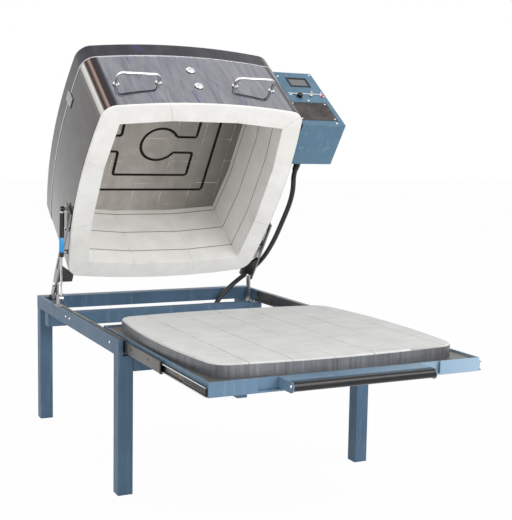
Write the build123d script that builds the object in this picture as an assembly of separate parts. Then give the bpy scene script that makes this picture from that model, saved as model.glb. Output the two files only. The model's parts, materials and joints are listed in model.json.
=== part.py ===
from build123d import *
import os
from math import atan2, cos, degrees, pi, radians, sin, sqrt, tan

# Clamshell glass kiln, modelled at rest: hood open, drawer pulled out.
# Millimetres, +Z up, +Y to the back. The stand's own centre on the floor is the working
# origin, and every piece is moved by ORIGIN at export.

# Stand
STAND_WIDTH = 930
STAND_DEPTH = 1040
STAND_HEIGHT = 500
TUBE = 50
TUBE_WALL = 3
PLATE = 3
SIDE_RAIL_THICK = 15
CROSS_MEMBER_Y = 370
LEG_TOP = STAND_HEIGHT - TUBE

# Hood and hearth plan: a rectangle with bowed sides and round corners
BRICK_HALF_X = 421.5
BRICK_HALF_Y = 423
BOW_X = 33
BOW_Y = 29
CORNER = 60
SKIN = 1.5
WALL_HEIGHT = 334
ROOF_THICK = 60
COURSE_JOINTS = (0, 78, 192, 307, WALL_HEIGHT)
# Chamber opening: four corners and the middle facet of each side
CHAMBER_CORNER = (321, 325)
CHAMBER_MID_X = (341, 130)
CHAMBER_MID_Y = (126, 345)

# Hinge
PIVOT_Y = 385
PIVOT_Z = 560.3
OPEN_ANGLE = 53.9
RIM_Z = -20.3
HOOD_Y = -36 - BRICK_HALF_Y
ARM_INNER = 425
ARM_THICK = 6
TAIL = 96
CAP_WALL = 4
POST_OUTER = 422
POST_THICK = 6
PIVOT_BOLT = 12
RUNNING_FIT = 0.05

# Gas strut
STRUT_X = -446
STRUT_FOOT = (226, 528)
STRUT_TOP_LOCAL = (-355, 39)
STRUT_DIA = 18
STRUT_ROD = 8
STRUT_BODY = 172
EYE_RADIUS = 9

# Drawer
DRAWER_HALF_X = 434.5
DRAWER_FRONT = -1158
DRAWER_BACK = -270
DRAWER_BOTTOM = 465
DRAWER_TOP = 506
ANGLE_THICK = 3
ANGLE_LEG = 30
HEARTH_Y = -701.6
HEARTH_TOP = 538
HEARTH_THICK = 68
DECK_Z = 499

# Slides
SLIDE_Z = 480
SLIDE_OUTER = 44
SLIDE_MIDDLE = 35
SLIDE_INNER = 26
SLIDE_SHEET = 1.5

# Control box, in the hood's own frame
BOX_OUTER_X = 598
BOX_FRONT = -798
BOX_BACK = -614
BOX_LOW = -12
BOX_HIGH = 358
BOX_SHEET = 2
PANEL_LEFT = 407

# Conduit
CONDUIT = 20
GLAND_LENGTH = 26
CONDUIT_EXIT = (465, BOX_BACK, 18)
CONDUIT_END = (274, 433, 358)

ORIGIN = (-65.25, 285.38, 0)

nodes = {}


def add(name, *solids):
    """Put one or more solids into a named node."""
    nodes.setdefault(name, []).extend(s for group in solids for s in group.solids())


def block(x, y, z):
    """Box between the given (low, high) pairs."""
    size = (x[1] - x[0], y[1] - y[0], z[1] - z[0])
    return Pos((x[0] + x[1]) / 2, (y[0] + y[1]) / 2, (z[0] + z[1]) / 2) * Box(*size)


def rod(axis, radius, start, end, at):
    """Cylinder along X, Y or Z from start to end; at holds the other two coordinates."""
    middle = (start + end) / 2
    length = abs(end - start)
    place = {
        "x": Pos(middle, at[0], at[1]) * Rot(0, 90, 0),
        "y": Pos(at[0], middle, at[1]) * Rot(90, 0, 0),
        "z": Pos(at[0], at[1], middle),
    }[axis]
    return place * Cylinder(radius, length)


def dome(axis, radius, height, base, at, sign=1):
    """Domed bolt head standing on a face, pointing along sign times the axis."""
    sphere = (radius * radius + height * height) / (2 * height)
    turn = {"x": Rot(0, 90 * sign, 0), "y": Rot(-90 * sign, 0, 0), "z": Rot(90 - 90 * sign, 0, 0)}[axis]
    cap = Pos(0, 0, height - sphere) * Sphere(sphere) & block((-radius, radius), (-radius, radius), (0, height))
    point = {"x": (base, at[0], at[1]), "y": (at[0], base, at[1]), "z": (at[0], at[1], base)}[axis]
    return Pos(*point) * turn * cap


def screw_head(axis, radius, height, base, at, sign=1):
    """Low pan head standing on a face, pointing along sign times the axis."""
    turn = {"x": Rot(0, 90 * sign, 0), "y": Rot(-90 * sign, 0, 0), "z": Rot(90 - 90 * sign, 0, 0)}[axis]
    point = {"x": (base, at[0], at[1]), "y": (at[0], base, at[1]), "z": (at[0], at[1], base)}[axis]
    return Pos(*point) * turn * Pos(0, 0, height / 2) * Cone(radius, radius * 0.6, height)


def bowed_plan(grow=0):
    """Plan outline of hood and hearth, grown outwards by the given amount."""
    half_x, half_y = BRICK_HALF_X + grow, BRICK_HALF_Y + grow
    cx, cy = half_x - BOW_X, half_y - BOW_Y
    sides = [
        ThreePointArc((-cx, -cy), (0, -half_y), (cx, -cy)),
        ThreePointArc((cx, -cy), (half_x, 0), (cx, cy)),
        ThreePointArc((cx, cy), (0, half_y), (-cx, cy)),
        ThreePointArc((-cx, cy), (-half_x, 0), (-cx, -cy)),
    ]
    face = make_face(sides)
    return fillet(face.vertices(), CORNER + grow)


def bowed_block(grow, y, low, high):
    return Pos(0, y, low) * extrude(bowed_plan(grow), high - low)


def front_bow_y(x):
    """Hood-local Y of the jacket's front face at a given X."""
    half_chord = BRICK_HALF_X + SKIN - BOW_X
    radius = (half_chord ** 2 + BOW_Y ** 2) / (2 * BOW_Y)
    return HOOD_Y - BRICK_HALF_Y - SKIN + radius - sqrt(radius ** 2 - x ** 2)


def hood_to_world(x, y, z):
    c, s = cos(radians(OPEN_ANGLE)), sin(radians(OPEN_ANGLE))
    return (x, PIVOT_Y + y * c + z * s, PIVOT_Z - y * s + z * c)


def opened(part):
    """Move a piece from the closed hood's frame to the open hood."""
    return Pos(0, PIVOT_Y, PIVOT_Z) * Rot(-OPEN_ANGLE, 0, 0) * part


def add_hood(name, *parts):
    add(name, *[opened(p) for p in parts])


def make_stand():
    half_x, half_y = STAND_WIDTH / 2, STAND_DEPTH / 2
    leg_x, leg_y = half_x - TUBE / 2, half_y - TUBE / 2
    inner = TUBE - 2 * TUBE_WALL
    for x in (-leg_x, leg_x):
        for y in (-leg_y, leg_y):
            tube = Box(TUBE, TUBE, LEG_TOP)
            tube = fillet(tube.edges().filter_by(Axis.Z), 4) - Box(inner, inner, LEG_TOP - 2 * PLATE)
            add("legs", Pos(x, y, LEG_TOP / 2) * tube)
    for side in (-1, 1):
        rail = Box(SIDE_RAIL_THICK, STAND_DEPTH, TUBE)
        rail = fillet(rail.edges().filter_by(Axis.Y), 2)
        add("side_rails", Pos(side * (half_x - SIDE_RAIL_THICK / 2), 0, STAND_HEIGHT - TUBE / 2) * rail)
    between = half_x - SIDE_RAIL_THICK
    rear = Box(2 * between, TUBE, TUBE) - Box(2 * between, inner, inner)
    add("rear_rail", Pos(0, leg_y, STAND_HEIGHT - TUBE / 2) * rear)
    span = STAND_WIDTH - 2 * TUBE
    front = Box(span, TUBE, TUBE) - Box(span, inner, inner)
    add("front_cross_rail", Pos(0, -leg_y, LEG_TOP - TUBE / 2) * front)
    member = Box(STAND_WIDTH, TUBE, TUBE) - Box(STAND_WIDTH - 2 * PLATE, inner, inner)
    add("rear_cross_member", Pos(0, CROSS_MEMBER_Y, LEG_TOP - TUBE / 2) * member)
    for side in (-1, 1):
        for y in (-432, 39, 90):
            add("stand_screws", screw_head("x", 5, 2.5, side * half_x, (y, SLIDE_Z), side))


def channel(side, web_face, depth, height, y, lip=0):
    """Folded C-channel along Y: flat web at web_face, flanges reaching by depth towards the drawer."""
    toward = -side
    faces = sorted((web_face, web_face + toward * depth))
    outer = block(faces, y, (SLIDE_Z - height / 2, SLIDE_Z + height / 2))
    cavity_faces = sorted((web_face + toward * SLIDE_SHEET, web_face + toward * (depth + 1)))
    half = height / 2 - SLIDE_SHEET
    cavity = block(cavity_faces, y, (SLIDE_Z - half, SLIDE_Z + half))
    body = outer - cavity
    if lip:
        end = web_face + toward * depth
        lip_faces = sorted((end, end - toward * SLIDE_SHEET))
        for sign in (-1, 1):
            edges = sorted((SLIDE_Z + sign * half, SLIDE_Z + sign * (half - lip)))
            body += block(lip_faces, y, edges)
    return body


def make_slides():
    rail_face = STAND_WIDTH / 2 - SIDE_RAIL_THICK
    middle_web = rail_face - 3.5
    lengths = (-STAND_DEPTH / 2 + 2, 360)
    for side in (-1, 1):
        outer = channel(side, side * rail_face, 12.5, SLIDE_OUTER, lengths)
        add("slide_outer", outer)
        y_mid = (-843, -843 + 690)
        middle = channel(side, side * middle_web, 8.5, SLIDE_MIDDLE, y_mid)
        for y in (-588, -738):
            middle -= rod("x", 4, side * (middle_web + 2), side * (middle_web - 4), (y, SLIDE_Z + 4))
        add("slide_middle", middle)
        y_in = (DRAWER_FRONT + 1, DRAWER_BACK)
        inner = channel(-side, side * DRAWER_HALF_X, 8, SLIDE_INNER, y_in)
        add("slide_inner", inner)


def make_drawer():
    y_span = (DRAWER_FRONT, DRAWER_BACK)
    z_span = (DRAWER_BOTTOM, DRAWER_TOP)
    x_span = (-DRAWER_HALF_X, DRAWER_HALF_X)
    inner_x = DRAWER_HALF_X - ANGLE_THICK
    flange_x = DRAWER_HALF_X - ANGLE_LEG
    frame = block(x_span, y_span, z_span)
    frame -= block((-inner_x, inner_x), (DRAWER_FRONT + ANGLE_THICK, DRAWER_BACK - ANGLE_THICK),
                   (DRAWER_BOTTOM + ANGLE_THICK, DRAWER_TOP))
    frame -= block((-flange_x, flange_x), (DRAWER_FRONT + ANGLE_LEG, DRAWER_BACK - ANGLE_LEG), z_span)
    for y in (-850, -560):
        frame += block((-inner_x, inner_x), (y - 20, y + 20), (DRAWER_BOTTOM, DRAWER_BOTTOM + ANGLE_THICK))
    # The front bar is cut away where the handle bracket sits behind its face
    window = 294
    frame -= block((-window, window), (DRAWER_FRONT - 1, DRAWER_FRONT + ANGLE_THICK), (DRAWER_BOTTOM + 5, DRAWER_TOP))
    add("drawer_frame", frame)

    floor = DRAWER_BOTTOM + ANGLE_THICK
    hearth_low = HEARTH_TOP - HEARTH_THICK
    front_in, back_in = DRAWER_FRONT + 16, DRAWER_BACK - ANGLE_THICK
    add("base_sheet", block((-inner_x, inner_x), (front_in, back_in), (floor, hearth_low)))
    deck = block((-inner_x, inner_x), (front_in, back_in), (DECK_Z, DECK_Z + 1.5))
    deck -= bowed_block(SKIN + 0.5, HEARTH_Y, DECK_Z - 1, DECK_Z + 3)
    add("deck_sheet", deck)
    wrap = bowed_block(SKIN, HEARTH_Y, hearth_low, HEARTH_TOP - 5) - bowed_block(0, HEARTH_Y, 0, HEARTH_TOP)
    add("hearth_wrap", wrap)
    make_hearth_bricks(hearth_low)
    make_handle()


def make_hearth_bricks(low):
    slab = bowed_block(0, HEARTH_Y, low, HEARTH_TOP)
    top = slab.faces().sort_by(Axis.Z)[-1]
    slab = chamfer(top.edges(), 3)
    joints = [-500, -296, -167, -37, 91, 219, 349, 500]
    length = 229
    for row, (x0, x1) in enumerate(zip(joints, joints[1:])):
        start = HEARTH_Y - 600 + (row * 86) % length
        for k in range(6):
            cell = block((x0, x1), (start + k * length, start + (k + 1) * length), (low, HEARTH_TOP))
            brick = slab & cell
            add("hearth_bricks", brick)


def make_handle():
    web_front = DRAWER_FRONT + 11
    half = 300
    web = block((-half, half), (web_front, web_front + 3), (DRAWER_BOTTOM + ANGLE_THICK, 503))
    add("handle_bracket", web)
    end_x = 225
    grip_y, grip_z, grip_r = -1221, 490, 13.5
    for side in (-1, 1):
        profile = Polyline((web_front, 503), (-1195, 503), (grip_y - 6, grip_z + 13.4), (grip_y - 14.5, grip_z + 2),
                           (grip_y - 11, grip_z - 12), (grip_y, grip_z - 17), (web_front, DRAWER_BOTTOM + 8), close=True)
        plate = extrude(Plane.YZ * make_face(profile), 3)
        x = side * end_x if side > 0 else side * end_x - 3
        add("handle_bracket", Pos(x, 0, 0) * plate)
    add("handle_bracket", block((-end_x, end_x), (-1201, web_front), (500, 503)))
    grip = rod("x", grip_r, -end_x + 0.2, end_x - 0.2, (grip_y, grip_z))
    add("handle_grip", grip)
    for side in (-1, 1):
        add("grip_bolts", dome("x", 5.5, 3.5, side * (end_x + 3), (grip_y, grip_z), side))


def make_hinges():
    top = PIVOT_Z
    for side in (-1, 1):
        x_span = sorted((side * (POST_OUTER - POST_THICK), side * POST_OUTER))
        post = block(x_span, (PIVOT_Y - 14, PIVOT_Y + 14), (LEG_TOP + PLATE, top))
        post += rod("x", 14, x_span[0], x_span[1], (PIVOT_Y, top))
        post -= rod("x", PIVOT_BOLT / 2, x_span[0], x_span[1], (PIVOT_Y, top))
        foot_x = sorted((side * (POST_OUTER - POST_THICK), side * 447))
        post += block(foot_x, (CROSS_MEMBER_Y - 25, PIVOT_Y + 14), (LEG_TOP, LEG_TOP + PLATE))
        add("hinge_posts", post)
        outer = ARM_INNER + ARM_THICK
        bolt = rod("x", PIVOT_BOLT / 2, side * (POST_OUTER - POST_THICK), side * (outer + 0.3), (PIVOT_Y, top))
        bolt += dome("x", 9, 6, side * (POST_OUTER - POST_THICK), (PIVOT_Y, top), -side)
        bolt += dome("x", 9, 6, side * (outer + 0.3), (PIVOT_Y, top), side)
        add("pivot_bolts", bolt)
        ring = rod("x", 11, side * POST_OUTER, side * (ARM_INNER - 0.2), (PIVOT_Y, top))
        ring -= rod("x", PIVOT_BOLT / 2, side * POST_OUTER, side * ARM_INNER, (PIVOT_Y, top))
        add("pivot_spacers", ring)
        for y in (PIVOT_Y, PIVOT_Y - 25):
            add("stand_screws", screw_head("z", 6, 4, LEG_TOP + PLATE, (side * 436, y)))


def arm_profile(side):
    """Side profile of a hinge arm in the closed hood's frame: (y, z) points."""
    if side < 0:
        points = [(TAIL, -11), (TAIL, 11), (30, 16), (-40, 22), (-300, 22), (-330, 53), (-372, 53),
                  (-372, -18), (-40, -18), (30, -16)]
    else:
        points = [(0, 16), (-40, 22), (-300, 22), (-300, -18), (-40, -18), (0, -16)]
    return points


def tail_block():
    """Full outline of the left arm, used to hollow the rubber cap on its tail."""
    return extrude(Plane.YZ * make_face(Polyline(*arm_profile(-1), close=True)), ARM_THICK)


def jacket_solid():
    return bowed_block(SKIN, HOOD_Y, RIM_Z - 1, RIM_Z + WALL_HEIGHT + ROOF_THICK)


def make_arms():
    jacket = jacket_solid()
    for side, name in ((-1, "left"), (1, "right")):
        profile = make_face(Polyline(*arm_profile(side), close=True))
        x = ARM_INNER if side > 0 else -ARM_INNER - ARM_THICK
        arm = Pos(x, 0, 0) * extrude(Plane.YZ * profile, ARM_THICK)
        x_in, x_out = side * ARM_INNER, side * (ARM_INNER + ARM_THICK)
        arm += rod("x", 16, x_in, x_out, (0, 0))
        arm -= rod("x", PIVOT_BOLT / 2 + RUNNING_FIT, x_in, x_out, (0, 0))
        for y in (-110, -230):
            slot = extrude(Plane.YZ * (Pos(y, 2) * SlotOverall(60, 11)), ARM_THICK)
            arm -= Pos(x, 0, 0) * slot
        add_hood("hinge_arm_" + name, arm)
        screws = (-170, -285)
        for y in screws:
            spacer = rod("x", 9, side * 390, x_in, (y, 2)) - jacket
            add_hood("arm_spacers", spacer)
            add_hood("hood_screws", screw_head("x", 6, 3.2, x_out, (y, 2), side))
        corner = Polyline((side * ARM_INNER, -112), (side * ARM_INNER, -26), (side * 366, -26), (side * 366, -60),
                          close=True)
        gusset = Pos(0, 0, -15) * extrude(make_face(corner), 12) - jacket
        add_hood("corner_gussets", gusset)
    # Rubber cap over the left arm's tail, short enough to pass the rear rail as the hood comes down
    tail_x = (-ARM_INNER - ARM_THICK, -ARM_INNER)
    cap = block((tail_x[0] - CAP_WALL, tail_x[1] + CAP_WALL), (TAIL - 26, TAIL + CAP_WALL), (-15, 15))
    cap = chamfer(cap.edges().filter_by(Axis.X).sort_by(Axis.Y)[-2:], 4)
    cap -= block(tail_x, (0, TAIL), (-20, 20)) & (Pos(tail_x[0], 0, 0) * tail_block())
    add_hood("stop_buffer", cap)


def sector(angle0, angle1):
    """Wedge from the hood's middle between two angles, in degrees."""
    reach = 900
    points = [(0, 0)] + [(reach * cos(radians(a)), reach * sin(radians(a))) for a in (angle0, angle1)]
    return make_face(Polyline(*points, close=True))


def chamber_points():
    (cx, cy), (mx, my), (tx, ty) = CHAMBER_CORNER, CHAMBER_MID_X, CHAMBER_MID_Y
    quarter = [(mx, my), (cx, cy), (tx, ty)]
    points = quarter + [(-x, y) for x, y in reversed(quarter)]
    return points + [(-x, -y) for x, y in points]


def make_wall_courses():
    points = chamber_points()
    cuts = sorted(degrees(atan2(y, x)) % 360 for x, y in points)
    outline = bowed_plan() - make_face(Polyline(*points, close=True))
    for row, (low, high) in enumerate(zip(COURSE_JOINTS, COURSE_JOINTS[1:])):
        ring = extrude(outline, high - low)
        if row == 0:
            edge = ring.faces().sort_by(Axis.Z)[0].outer_wire().edges()
            ring = chamfer(edge, 4)
        if row in (1, 2):
            hole_z = (90 - RIM_Z - low, 194 - RIM_Z - low)[row - 1]
            ring -= rod("y", PLUG_HOLE, -430, -330, (PLUG_X, hole_z))
        for a, b in zip(cuts, cuts[1:] + [cuts[0] + 360]):
            brick = ring & extrude(sector(a, b), high - low)
            add_hood("wall_course_%d" % (row + 1), Pos(0, HOOD_Y, RIM_Z + low) * brick)


PLUG_X = -10
PLUG_HOLE = 13
PLUG_Z = (90, 194)

# Heating element in the roof, as a plan path round the hood's middle
ELEMENT_DIA = 8
GROOVE = 12
ELEMENT_X = 242
ELEMENT_Y = 233
RING_RADIUS = 78
LEAD_GAP = 34


def element_path():
    ex, ey, step = ELEMENT_X, ELEMENT_Y, 39
    inner_x0, inner_x1, inner_y = -168, 153, 155
    ring_x = sqrt(RING_RADIUS ** 2 - step ** 2)
    lead_x = 436
    first = FilletPolyline((lead_x, -ey), (-ex, -ey), (-ex, -step), (inner_x0, -step), (inner_x0, -inner_y),
                           (inner_x1, -inner_y), (inner_x1, -step), (ring_x, -step), radius=10)
    ring = ThreePointArc((ring_x, -step), (-RING_RADIUS, 0), (ring_x, step))
    second = FilletPolyline((ring_x, step), (inner_x1, step), (inner_x1, inner_y), (inner_x0, inner_y),
                            (inner_x0, step), (-ex, step), (-ex, ey), (ex, ey), (ex, LEAD_GAP - ey),
                            (lead_x, LEAD_GAP - ey), radius=10)
    return [first, ring, second]


def make_roof():
    roof_z = RIM_Z + WALL_HEIGHT
    slab = bowed_block(0, 0, 0, ROOF_THICK)
    slab = chamfer(slab.faces().sort_by(Axis.Z)[-1].edges(), 9)
    groove = Part()
    for piece in element_path():
        groove += extrude(trace(piece, GROOVE), GROOVE)
    slab -= groove
    slab -= rod("z", 4.2, 0, ROOF_THICK, THERMOCOUPLE)
    joints = [-500, -310, -186, -62, 62, 186, 310, 500]
    length = 229
    for row, (x0, x1) in enumerate(zip(joints, joints[1:])):
        start = -640 + (row * 112) % length
        for k in range(6):
            cell = block((x0, x1), (start + k * length, start + (k + 1) * length), (0, ROOF_THICK))
            brick = slab & cell
            for solid in brick.solids():
                add_hood("roof_bricks", Pos(0, HOOD_Y, roof_z) * Part(solid.wrapped))
    # The wire coil is drawn as an eight-sided rod of its outer size
    element = Part()
    for piece in element_path():
        profile = Plane(origin=piece @ 0, z_dir=piece % 0) * RegularPolygon(ELEMENT_DIA / 2, 8)
        element += sweep(profile, path=piece)
    add_hood("roof_element", Pos(0, HOOD_Y, roof_z + GROOVE - ELEMENT_DIA / 2 - 0.5) * element)
    probe = rod("z", 4, -22, ROOF_THICK + 20, THERMOCOUPLE) + rod("z", 9, ROOF_THICK + SKIN, ROOF_THICK + 20,
                                                                THERMOCOUPLE)
    add_hood("thermocouple", Pos(0, HOOD_Y, roof_z) * probe)


THERMOCOUPLE = (150, -290)


def make_jacket():
    top = RIM_Z + WALL_HEIGHT + ROOF_THICK
    skin = bowed_block(SKIN, HOOD_Y, RIM_Z + 5, top - 12) - bowed_block(0, HOOD_Y, RIM_Z, top)
    lead_z = RIM_Z + WALL_HEIGHT + GROOVE - ELEMENT_DIA / 2 - 0.5
    for y in (-ELEMENT_Y, LEAD_GAP - ELEMENT_Y):
        hole = rod("x", 9, 380, 440, (HOOD_Y + y, lead_z))
        skin -= hole
        bush = rod("x", 9, 404, 434, (HOOD_Y + y, lead_z)) - bowed_block(0, HOOD_Y, RIM_Z, top)
        bush -= rod("x", ELEMENT_DIA / 2, 380, 440, (HOOD_Y + y, lead_z))
        add_hood("lead_bushings", bush)
    for z in PLUG_Z:
        skin -= rod("y", PLUG_HOLE, -900, -850, (PLUG_X, z))
    add_hood("jacket", skin)
    cap_grow = 2 * SKIN
    cap = bowed_block(cap_grow, HOOD_Y, CAP_LOW, top + SKIN)
    cap = fillet(cap.faces().sort_by(Axis.Z)[-1].edges(), 10)
    core = bowed_block(SKIN, HOOD_Y, CAP_LOW, top)
    core = chamfer(core.faces().sort_by(Axis.Z)[-1].edges(), 6)
    cap -= core
    cap -= rod("z", 4.2, top - 5, top + 5, (THERMOCOUPLE[0], HOOD_Y + THERMOCOUPLE[1]))
    for y in (-ELEMENT_Y, LEAD_GAP - ELEMENT_Y):
        cap -= rod("x", 12, 380, 440, (HOOD_Y + y, lead_z))
    add_hood("roof_cap", cap)
    clip = block((-428, -395), (-700, -660), (252, 316))
    clip -= bowed_block(cap_grow, HOOD_Y, CAP_LOW - 1, top)
    clip -= bowed_block(SKIN, HOOD_Y, RIM_Z, top)
    clip &= bowed_block(cap_grow + 2, HOOD_Y, RIM_Z, top)
    add_hood("cap_clip", clip)


CAP_LOW = 288


def make_bow_handles():
    jacket = jacket_solid()
    z, stand_off, bar = 108, 40, 6
    for centre in (-239, 219):
        x0, x1 = centre - 78, centre + 78
        back = front_bow_y(abs(centre) + 90) + 6
        front = front_bow_y(centre) - stand_off
        path = FilletPolyline((x0, back, z), (x0, front, z), (x1, front, z), (x1, back, z), radius=20)
        handle = sweep(Plane(origin=path @ 0, z_dir=path % 0) * Circle(bar), path=path)
        for x in (x0, x1):
            handle += rod("y", 12, front_bow_y(x) - 4, back, (x, z))
        add_hood("bow_handles", handle - jacket)


def make_plugs():
    for z, name in zip(PLUG_Z, ("lower", "upper")):
        face = front_bow_y(PLUG_X)
        plug = rod("y", PLUG_HOLE - 0.1, face, -802, (PLUG_X, z))
        plug += dome("y", 17, 9, face - 2.8, (PLUG_X, z), -1) + rod("y", 17, face - 2.8, face - 0.3, (PLUG_X, z))
        plug += rod("y", 10, face - 3, face + 1, (PLUG_X, z))
        add_hood("plug_" + name, plug)


def make_control_box():
    hood_side = bowed_block(2 * SKIN + 0.1, HOOD_Y, RIM_Z - 5, BOX_HIGH + 60)
    t = BOX_SHEET
    shell = block((PANEL_LEFT, BOX_OUTER_X), (BOX_FRONT, BOX_BACK), (BOX_LOW, BOX_HIGH))
    shell = fillet(shell.edges().filter_by(Axis.Y).sort_by(Axis.X)[-2:], 4)
    shell -= block((PANEL_LEFT - 50, BOX_OUTER_X - t), (BOX_FRONT, BOX_BACK - t), (BOX_LOW + t, BOX_HIGH - t))
    shell -= hood_side
    gland = (CONDUIT_EXIT[0], CONDUIT_EXIT[2])
    shell -= rod("y", 9, BOX_BACK - 5, BOX_BACK + 5, gland)
    add_hood("control_housing", shell)

    panel = block((PANEL_LEFT, BOX_OUTER_X), (BOX_FRONT - t, BOX_FRONT), (BOX_LOW, BOX_HIGH))
    panel = fillet(panel.edges().filter_by(Axis.Y).sort_by(Axis.X)[-2:], 4)
    panel -= block((DISPLAY_X[0] + 3, DISPLAY_X[1] - 3), (-810, -790), (DISPLAY_Z[0] + 3, DISPLAY_Z[1] - 3))
    panel -= rod("y", 4, -810, -790, KNOB) + rod("y", 4, -810, -790, TOGGLE) + rod("y", 7, -810, -790, BUTTON)
    add_hood("control_panel", panel)
    cover = block((412, 577), (BOX_FRONT - t - 1.2, BOX_FRONT - t), (20, 142))
    add_hood("lower_cover", cover)
    front = BOX_FRONT - t
    bezel = block(DISPLAY_X, (front - 3, front), DISPLAY_Z)
    bezel -= block((DISPLAY_X[0] + 5, DISPLAY_X[1] - 5), (front - 3, front), (DISPLAY_Z[0] + 5, DISPLAY_Z[1] - 5))
    add_hood("display_bezel", chamfer(bezel.edges().filter_by(Axis.Y).sort_by(Axis.X)[:2], 0.5))
    window = block((DISPLAY_X[0] + 3.2, DISPLAY_X[1] - 3.2), (front, front + 4), (DISPLAY_Z[0] + 3.2, DISPLAY_Z[1] - 3.2))
    add_hood("display_window", window)
    for x, z in PANEL_SCREWS:
        add_hood("hood_screws", screw_head("y", 4, 2, front, (x, z), -1))
    for x, z in COVER_SCREWS:
        add_hood("hood_screws", screw_head("y", 3.5, 2, front - 1.2, (x, z), -1))

    knob = rod("y", 11.5, front - 15, front - 0.4, KNOB)
    knob = chamfer(knob.faces().sort_by(Axis.Y)[0].edges(), 1.5)
    for k in range(12):
        angle = radians(30 * k)
        knob -= rod("y", 1.5, front - 16, front - 3, (KNOB[0] + 12.2 * cos(angle), KNOB[1] + 12.2 * sin(angle)))
    knob -= block((KNOB[0] - 0.8, KNOB[0] + 0.8), (front - 16, front - 14), (KNOB[1] + 3, KNOB[1] + 12))
    knob += rod("y", 3.95, front - 1, front + 12, KNOB)
    add_hood("temperature_knob", knob)

    bush = rod("y", 6.5, front - 5, front, TOGGLE) + rod("y", 4, front, front + 14, TOGGLE)
    bush -= rod("y", 2.6, front - 6, front, TOGGLE)
    bush -= Pos(TOGGLE[0], front - 4, TOGGLE[1]) * Sphere(3.3)
    add_hood("switch_bushes", bush)
    lean = Pos(TOGGLE[0], front - 4, TOGGLE[1]) * Rot(90 + TOGGLE_LEAN, 0, 0)
    pin = rod("x", 0.8, -2.9, 2.9, (0, 0))
    lever = lean * (Pos(0, 0, 8) * Cone(1.6, 3.0, 16) + Sphere(2.4) + Pos(0, 0, 16) * Sphere(3.0) + pin)
    add_hood("toggle_lever", lever)

    collar = rod("y", 10, front - 2.5, front, BUTTON) + rod("y", 7, front, front + 12, BUTTON)
    collar -= rod("y", 6, front - 3, front + 8, BUTTON)
    add_hood("switch_bushes", collar)
    button = rod("y", 5.94, front - 6, front + 2, BUTTON)
    add_hood("push_button", fillet(button.faces().sort_by(Axis.Y)[0].edges(), 1))

    board = block((470, 575), (front + 22, front + 24), (230, 340)) + block((500, 560), (front + 24, front + 38), (250, 290))
    pegs = [rod("y", 3, front + t, front + 22, (x, z)) for x in (476, 569) for z in (236, 334)]
    add_hood("controller_board", board + pegs[0] + pegs[1] + pegs[2] + pegs[3])
    relay = block((450, 530), (BOX_BACK - t - 46, BOX_BACK - t), (90, 180))
    relay += block((456, 524), (BOX_BACK - t - 60, BOX_BACK - t - 46), (100, 170))
    add_hood("contactor", relay)


DISPLAY_X = (466, 557)
DISPLAY_Z = (255, 317)
KNOB = (473, 182)
TOGGLE = (528, 190)
BUTTON = (580, 190)
TOGGLE_LEAN = -20
PANEL_SCREWS = ((435, 327), (587, 346), (440, 196), (587, 216), (505, 158), (564, 4))
COVER_SCREWS = ((422, 132), (567, 132), (422, 30), (567, 30))


def make_strut():
    foot = (STRUT_X, STRUT_FOOT[0], STRUT_FOOT[1])
    top = hood_to_world(STRUT_X, *STRUT_TOP_LOCAL)
    along = Vector(*top) - Vector(*foot)
    length = along.length
    print("strut length open", round(length, 2), "direction", along.normalized())
    angle = degrees(atan2(along.Z, along.Y))
    closed_y, closed_z = PIVOT_Y + STRUT_TOP_LOCAL[0], PIVOT_Z + STRUT_TOP_LOCAL[1]
    dy, dz = closed_y - STRUT_FOOT[0], closed_z - STRUT_FOOT[1]
    print("strut length closed", round(sqrt(dy * dy + dz * dz), 2), "turn", round(degrees(atan2(dz, dy)) - angle, 3))
    # Built along +Z from the foot, then leaned in the YZ plane
    place = Pos(*foot) * Rot(angle - 90, 0, 0)
    eye_half = 7
    stud = 4
    body_low = length - STRUT_BODY - 12
    bore = 7
    cylinder = rod("z", STRUT_DIA / 2, body_low, length - 16, (0, 0))
    cylinder = chamfer(cylinder.edges(), 1.5)
    cylinder -= rod("z", bore, body_low + 12, length - 24, (0, 0))
    cylinder -= rod("z", STRUT_ROD / 2 + RUNNING_FIT, body_low - 1, body_low + 13, (0, 0))
    cylinder += rod("z", 5, length - 18, length - 5, (0, 0)) + rod("x", EYE_RADIUS, -eye_half, eye_half, (0, length))
    cylinder += rod("x", stud, eye_half, -STRUT_X - ARM_INNER - ARM_THICK - 6, (0, length))
    add("strut_cylinder", place * cylinder)
    piston_z = STRUT_BODY + 8
    strut_rod = rod("z", STRUT_ROD / 2, 5, piston_z, (0, 0)) + rod("z", bore - RUNNING_FIT, piston_z - 8, piston_z, (0, 0))
    eye = rod("x", EYE_RADIUS, -eye_half, eye_half, (0, 0)) - rod("x", stud + RUNNING_FIT, -eye_half, eye_half, (0, 0))
    strut_rod = strut_rod - rod("x", stud + RUNNING_FIT, -eye_half, eye_half, (0, 0)) + eye
    add("strut_rod", place * strut_rod)
    plate_in = STRUT_X - eye_half - 1.5
    half_x = STAND_WIDTH / 2
    y0, z0 = STRUT_FOOT
    bracket = block((plate_in - 4, plate_in), (y0 - 20, y0 + 20), (STAND_HEIGHT, z0)) + rod("x", 20, plate_in - 4, plate_in, (y0, z0))
    bracket &= block((-half_x - 1, 0), (y0 - 20, y0 + 20), (STAND_HEIGHT, z0 + 14))
    bracket += block((-half_x, -half_x + SIDE_RAIL_THICK), (y0 - 32, y0 + 32), (STAND_HEIGHT, STAND_HEIGHT + PLATE))
    bracket += rod("x", stud, plate_in, STRUT_X + eye_half + 1.5, (y0, z0))
    bracket += dome("x", 6, 3, STRUT_X + eye_half + 0.5, (y0, z0), 1)
    add("strut_foot_bracket", bracket)
    arm_out = -ARM_INNER - ARM_THICK
    ball = rod("x", 7, arm_out - 5.6, arm_out, STRUT_TOP_LOCAL)
    add_hood("strut_top_stud", ball)


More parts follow.
